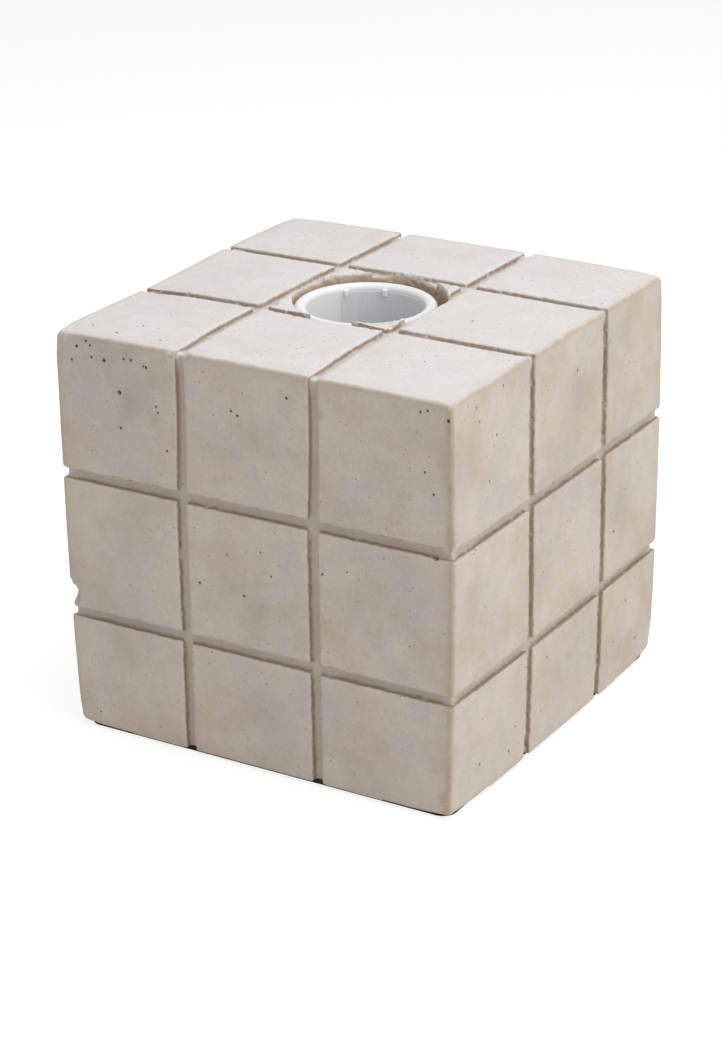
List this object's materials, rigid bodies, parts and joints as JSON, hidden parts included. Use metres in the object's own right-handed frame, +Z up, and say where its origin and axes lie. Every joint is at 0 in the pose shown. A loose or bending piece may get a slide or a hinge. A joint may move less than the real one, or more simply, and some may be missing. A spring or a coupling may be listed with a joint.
{
  "type": "cube table lamp base",
  "caption": "Cast concrete cube with a grid of grooves and a screw lampholder sunk in its top; takes a bare lamp.",
  "frame": {"origin": "centre of the underside, on the surface the lamp stands on", "axes": "+Z up, -Y towards the front face, +X towards the right face; the cable leaves at +Y"},
  "size_m": [0.1234, 0.121, 0.1181],
  "materials": {
    "concrete": "cast concrete, fine pinholes, matt",
    "pad_foam": "closed cell foam sheet",
    "holder_plastic": "moulded white, glossy",
    "carrier_ceramic": "glazed insulating ceramic",
    "plated_shell": "rolled sheet, nickel plated",
    "spring_bronze": "stamped spring bronze",
    "brass": "turned and stamped brass",
    "zinc_steel": "zinc plated steel",
    "grommet_rubber": "moulded rubber, matt",
    "label_foil": "blank silver grey label",
    "fibre": "vulcanised fibre",
    "bush_plastic": "moulded edge guard"
  },
  "bodies": {
    "lamp": {"concrete_block": "concrete", "base_pad": "pad_foam", "holder_skirt": "holder_plastic", "holder_cap": "holder_plastic", "contact_carrier": "carrier_ceramic", "screw_shell": "plated_shell", "shell_rivets": "brass", "contact_rivet": "brass", "live_terminal": "brass", "neutral_terminal": "brass", "terminal_screws": "zinc_steel", "cap_lock_screw": "zinc_steel", "cable_grommet": "grommet_rubber", "rating_label": "label_foil", "seat_washer": "fibre", "threaded_tube": "zinc_steel", "flat_washer": "zinc_steel", "spring_washer": "zinc_steel", "hex_nut": "zinc_steel", "tube_bush": "bush_plastic"},
    "contact": {"centre_contact": "spring_bronze"}
  },
  "joints": [
    {"name": "contact_flex", "type": "hinge", "parent": "lamp", "child": "contact", "pos_m": [-0.0075, 0.0027, 0.07975], "axis": [0, 1, 0], "range_deg": [0, 10], "stiffness_Nm_per_rad": 0.15}
  ]
}
